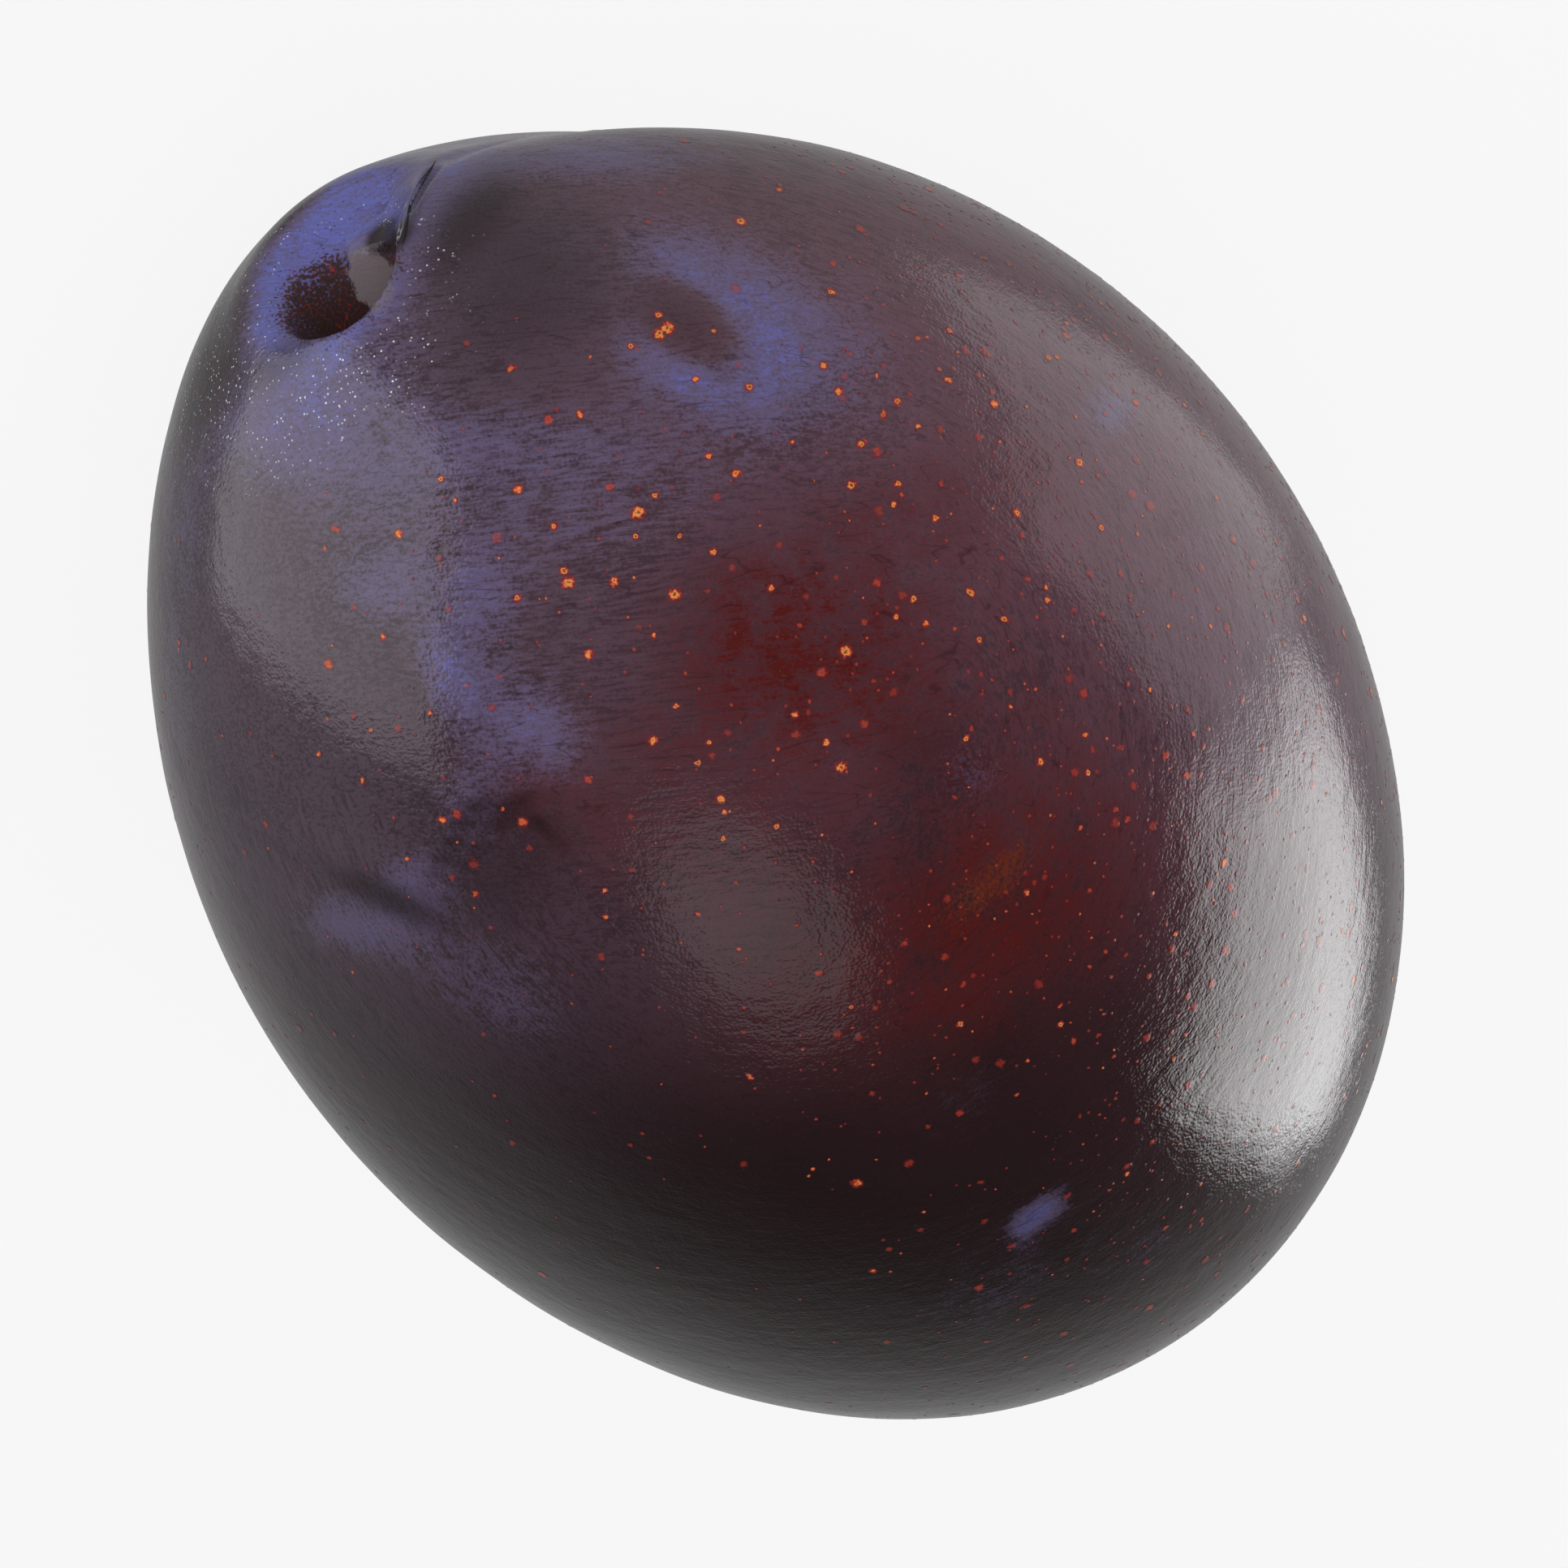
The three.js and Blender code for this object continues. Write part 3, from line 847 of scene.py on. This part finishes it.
def plain_material(name, colour, roughness):
    """An even matte finish."""
    material = bpy.data.materials.new(name)
    tree = cleared(material)
    look = {"Base Color": tuple(colour), "Roughness": roughness, "IOR": REFRACTION}
    shader = add(tree, "ShaderNodeBsdfPrincipled", links=look)
    add(tree, "ShaderNodeOutputMaterial", links={"Surface": shader.outputs[0]})
    return material


# The stage

FLOOR_TONE = 0xFAFAFA
FLOOR_SHADING = 0.09  # share of the floor's tone that its own light and shadow make
FLOOR_HALF = 2.0  # metres from the fruit to the floor's edge
SOFTBOXES = {
    # azimuth and elevation of the middle from the fruit, degrees; distance, width and height, metres;
    # power, watts; degrees that it is turned aside; whether it is round
    "side_softbox": (-147.0, 9.4, 0.55, 0.39, 0.45, 1.49, 0, False),
    "side_softbox_middle": (-151, 10.5, 0.54, 0.37, 0.3, 0.62, 0, False),
    "side_panel": (-107, -1.5, 0.6, 0.46, 0.64, 0.88, 0, False),
    "top_lamp": (95, 68, 0.6, 0.32, 0.32, 0.22, 0, True),
    "left_card": (25, 5, 0.0453, 0.034, 0.037, 0.0055, 23, False),
}
FILL = ("fill", (10, 52, 0.9, 1.2, 1.2, 8.0, 0, False))
GLOSS_BELOW = 0.37  # brightness that the skin mirrors from below
GLOSS_FADE = (-0.35, 0.6)  # sines of the elevations between which it fades out
GLOSS_ASIDE = 0.07  # brightness that it mirrors past the side panel's far edge
ASIDE = (0.26, -0.97)  # the x and y of that direction
ASIDE_FADE = (0.6, 1)  # cosines of the angle to it between which it fades in


def make_floor(tone):
    """A pale floor under the fruit, with a faint soft shadow."""
    material = bpy.data.materials.new("pale studio floor")
    tree = cleared(material)
    glow = add(tree, "ShaderNodeEmission", links={"Color": tuple(tone), "Strength": 1.0})
    matte = add(tree, "ShaderNodeBsdfDiffuse", links={"Color": (1, 1, 1, 1)})
    mix = {0: FLOOR_SHADING, 1: glow.outputs[0], 2: matte.outputs[0]}
    both = add(tree, "ShaderNodeMixShader", links=mix)
    add(tree, "ShaderNodeOutputMaterial", links={"Surface": both.outputs[0]})
    mesh = bpy.data.meshes.new("floor")
    corners = [(x * FLOOR_HALF, y * FLOOR_HALF, CAD_LOW.z) for x, y in ((-1, -1), (1, -1), (1, 1), (-1, 1))]
    mesh.from_pydata(corners, [], [(0, 1, 2, 3)])
    mesh.materials.append(material)
    floor = shown("floor", mesh)
    floor.visible_glossy = False
    floor.visible_diffuse = False
    floor.visible_shadow = False


def make_softbox(name, setting, target):
    """An even area light that looks at the fruit."""
    azimuth, elevation, distance, width, height, power, aside, is_round = setting
    data = bpy.data.lights.new(name, "AREA")
    data.shape = "ELLIPSE" if is_round else "RECTANGLE"
    data.size = width
    data.size_y = height
    data.energy = power
    lamp = shown(name, data)
    turn, rise = math.radians(azimuth), math.radians(elevation)
    level = math.cos(rise)
    away = Vector((level * math.cos(turn), level * math.sin(turn), math.sin(rise)))
    facing = Matrix.Rotation(math.radians(aside), 3, "Z") @ away
    lamp.rotation_mode = "QUATERNION"
    lamp.rotation_quaternion = facing.to_track_quat("Z", "Y")
    lamp.location = target + away * distance
    lamp.visible_camera = False
    return lamp


def make_surround(tone):
    """Pale to the eye, dim to the skin's gloss, so that only the softboxes show in it."""
    world = bpy.data.worlds.new("studio")
    tree = cleared(world)
    rays = add(tree, "ShaderNodeLightPath")
    way = add(tree, "ShaderNodeTexCoord").outputs["Generated"]
    x, y, rise = add(tree, "ShaderNodeSeparateXYZ", links={0: way}).outputs
    (low, high), (aside, straight) = GLOSS_FADE, ASIDE_FADE
    text = (
        f"{GLOSS_BELOW} * (1 - smoothstep(rise, {low}, {high})) + {GLOSS_ASIDE}"
        f" * smoothstep(x * {ASIDE[0]} + y * {ASIDE[1]}, {aside}, {straight})"
    )
    dim = formula(tree, text, x=x, y=y, rise=rise)
    grey = first(tree, "ShaderNodeCombineColor", links={0: dim, 1: dim, 2: dim})
    mix = {0: rays.outputs["Is Camera Ray"], 6: grey, 7: tuple(tone)}
    tint = add(tree, "ShaderNodeMix", {"data_type": "RGBA"}, mix).outputs[2]
    back = add(tree, "ShaderNodeBackground", links={"Color": tint, "Strength": 1.0})
    add(tree, "ShaderNodeOutputWorld", links={"Surface": back.outputs[0]})
    bpy.context.scene.world = world


# The add-on


def length(name, description, value):
    """A property that holds a length, from its default in millimetres."""
    return FloatProperty(name=name, description=description, default=value * MM, unit="LENGTH", precision=5)


def tint(name, description, value):
    """A property that holds a colour, from its default as an sRGB hex value."""
    settings = {"subtype": "COLOR", "size": 4, "min": 0, "max": 1}
    return FloatVectorProperty(name=name, description=description, default=linear(value), **settings)


class PlumSizes(bpy.types.PropertyGroup):
    length: length("Length", "Pole to pole, before the stalk hollow sinks in", 56)
    thickness: length("Thickness", "Across the seam, at the belly", 39.4)
    breadth: length("Breadth", "Side to side, at the belly", 40.6)
    belly_lean: length("Belly lean", "How far the belly hangs towards the seam's side", -0.6)
    seam_depth: length("Seam depth", "Deepest part of the valley of the seam", 0.88)
    seam_half_width: length("Seam half width", "Half the width of the valley of the seam", 3.1)
    seam_angle: FloatProperty(
        name="Seam angle",
        description="Where the seam lies, round the axis from the cheek's level",
        default=math.radians(209),
        subtype="ANGLE",
    )
    funnel_depth: length("Funnel depth", "How far the wide part of the stalk hollow sinks", 1.76)
    pit_depth: length("Pit depth", "How much deeper the pit of the stalk is", 2.8)
    lip_height: length("Lip height", "How much the rim of the hollow swells", 0.17)
    crack_depth: length("Crack depth", "Depth of the split in the hollow's rim", 0.5)
    blossom_dimple: length("Blossom dimple", "How far the blossom end sinks", 0.35)
    unevenness: length("Unevenness", "Height of the skin's low waves", 0.07)
    wrinkling: length("Wrinkling", "Height of the fine wrinkles along the fibres", 0.016)


class PlumColours(bpy.types.PropertyGroup):
    # Also the colour that painted shade turns the skin towards
    dark_skin: tint("Dark skin", "Ripe skin with no bloom", 0x271D1F)
    warm_skin: tint("Warm skin", "Skin where some red shows", 0x4E2A2E)
    red_glow: tint("Red glow", "Thin skin with red flesh behind it", 0x5E1C1A)
    ember: tint("Ember", "The least ripe streaks", 0x7C3A1C)
    # Also the colour of the painted sheen that some veil washes lay where the lamps' soft reflections show
    thin_bloom: tint("Thin bloom", "Wax that has been rubbed thin", 0x665464)
    rosy_bloom: tint("Rosy bloom", "Thin wax over red skin", 0x6E4852)
    lilac_film: tint("Lilac film", "Wax half rubbed away", 0x706488)
    bloom: tint("Bloom", "Wax as it grew", 0x6E74C4)
    wax: tint("Wax flakes", "Loose flakes of wax", 0xF0F0F4)
    pit_flesh: tint("Pit flesh", "Dry flesh in the stalk's pit", 0x402F2E)
    # Near-black partly as painted shade, for the split's inside lies in shade
    split_flesh: tint("Split flesh", "Dried flesh inside the split", 0x141013)
    split_edge: tint("Split edge", "Pale lip that has curled beside the split", 0x8E8A98)
    pit_veins: tint("Pit veins", "Torn red strands in the pit", 0xA83028)
    pith: tint("Pith", "Pale patch where the stalk tore away", 0x8E8488)
    lenticel_halo: tint("Lenticel halo", "Red skin round a lenticel", 0x8A2C2C)
    lenticel_ring: tint("Lenticel ring", "Cork at a lenticel's edge", 0xD85030)
    lenticel_core: tint("Lenticel core", "Cork in a lenticel's middle", 0xF8A04C)
    lenticel_scar: tint("Lenticel scar", "The cracks that open in a large one", 0x4A2018)


class PlumLenticels(bpy.types.PropertyGroup):
    most: FloatProperty(name="Most per cm2", description="Lenticels where they crowd", default=180, min=0)
    small: length("Small radius", "Radius of the smallest, with their halo", 0.07)
    large: length("Large radius", "Radius of the largest, with their halo", 0.25)
    height: length("Height", "How far their cork stands proud", 0.01)
    seed: IntProperty(name="Seed", description="Another number scatters them anew", default=4)


class PlumStage(bpy.types.PropertyGroup):
    tone: tint("Floor tone", "Colour of the floor and backdrop", FLOOR_TONE)


PER_SQUARE_METRE = 10000  # square centimetres in a square metre
GROUPS = {
    "plum_sizes": PlumSizes,
    "plum_colours": PlumColours,
    "plum_lenticels": PlumLenticels,
    "plum_stage": PlumStage,
}


def found(name):
    """A piece that has been made already."""
    if name not in bpy.data.objects:
        raise RuntimeError(f"make {name} first")
    return bpy.data.objects[name]


def finished(piece):
    """Hangs a piece on the root body, and hides the plain CAD part that it takes the place of."""
    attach(piece, "root")
    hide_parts("plum")


class PLUM_OT_skin(bpy.types.Operator):
    """Makes the fruit's skin, with its seam, hollow and painted tints, in place of the plain solid"""

    bl_idname = "plum.skin"
    bl_label = "Skin"

    def execute(self, context):
        material = skin_material(context.scene.plum_colours, corky=False)
        inputs = skin_inputs(context.scene.plum_sizes)
        skin = grown(skin_tree(inputs, material), "plum_skin", inputs)
        middle = settled(skin)
        skin["middle"] = middle
        paint(skin, middle)
        finished(skin)
        return {"FINISHED"}


class PLUM_OT_split(bpy.types.Operator):
    """Lays the dark gap and the curled pale lip of the split in the rim of the stalk hollow"""

    bl_idname = "plum.split"
    bl_label = "Split"

    def execute(self, context):
        skin = found("plum_skin")
        colours = context.scene.plum_colours
        gap = plain_material("dried flesh in a split", colours.split_flesh, roughness=0.6)
        edge = plain_material("curled lip of a split", colours.split_edge, roughness=0.5)
        finished(sliver("plum_split_gap", SPLIT_GAP, skin, gap))
        finished(sliver("plum_split_lip", SPLIT_LIP, skin, edge))
        return {"FINISHED"}


class PLUM_OT_lenticels(bpy.types.Operator):
    """Scatters the corky lenticels over the skin, and sets the clear ones where they show"""

    bl_idname = "plum.lenticels"
    bl_label = "Lenticels"

    def execute(self, context):
        skin = found("plum_skin")
        middle = Vector(skin["middle"])
        chosen = context.scene.plum_lenticels
        inputs = {
            "Skin": skin,
            "Most per square metre": chosen.most * PER_SQUARE_METRE,
            "Small radius": chosen.small,
            "Large radius": chosen.large,
            "Height": chosen.height,
            "Seed": chosen.seed,
        }
        material = skin_material(context.scene.plum_colours, corky=True)
        tree = lenticel_tree(inputs, material)
        dots = grown(tree, "plum_lenticels", inputs, clear_points(skin, middle))
        paint(dots, middle)
        finished(dots)
        return {"FINISHED"}


class PLUM_OT_camera(bpy.types.Operator):
    """Sets the camera at the photograph's angle"""

    bl_idname = "plum.camera"
    bl_label = "Camera"

    def execute(self, context):
        make_camera(Vector(found("plum_skin")["middle"]))
        return {"FINISHED"}


class PLUM_OT_stage(bpy.types.Operator):
    """Lays the pale floor and hangs the soft studio lights"""

    bl_idname = "plum.stage"
    bl_label = "Stage"

    def execute(self, context):
        tone = context.scene.plum_stage.tone
        target = Vector(found("plum_skin")["middle"])
        make_floor(tone)
        make_surround(tone)
        for name, setting in SOFTBOXES.items():
            make_softbox(name, setting, target)
        name, setting = FILL
        make_softbox(name, setting, target).visible_glossy = False
        bpy.data.objects["left_card"].visible_diffuse = False
        context.scene.view_settings.view_transform = "Standard"
        return {"FINISHED"}


OPERATORS = (PLUM_OT_skin, PLUM_OT_split, PLUM_OT_lenticels, PLUM_OT_camera, PLUM_OT_stage)


class PLUM_PT_panel(bpy.types.Panel):
    """The sidebar's list of pieces, with their sizes and colours"""

    bl_idname = "PLUM_PT_panel"
    bl_label = "Plum"
    bl_space_type = "VIEW_3D"
    bl_region_type = "UI"
    bl_category = "Plum"

    def draw(self, context):
        for operator in OPERATORS:
            self.layout.operator(operator.bl_idname)
        for name, group in GROUPS.items():
            box = self.layout.box()
            for setting in group.__annotations__:
                box.prop(getattr(context.scene, name), setting)


def register():
    for group in GROUPS.values():
        bpy.utils.register_class(group)
    for name, group in GROUPS.items():
        setattr(bpy.types.Scene, name, PointerProperty(type=group))
    for listed in (*OPERATORS, PLUM_PT_panel):
        bpy.utils.register_class(listed)


def unregister():
    for listed in (PLUM_PT_panel, *reversed(OPERATORS)):
        bpy.utils.unregister_class(listed)
    for name, group in reversed(GROUPS.items()):
        delattr(bpy.types.Scene, name)
        bpy.utils.unregister_class(group)


def main():
    register()
    bpy.ops.plum.skin()
    bpy.ops.plum.split()
    bpy.ops.plum.lenticels()
    bpy.ops.plum.camera()
    bpy.ops.plum.stage()


if __name__ == "__main__":
    main()
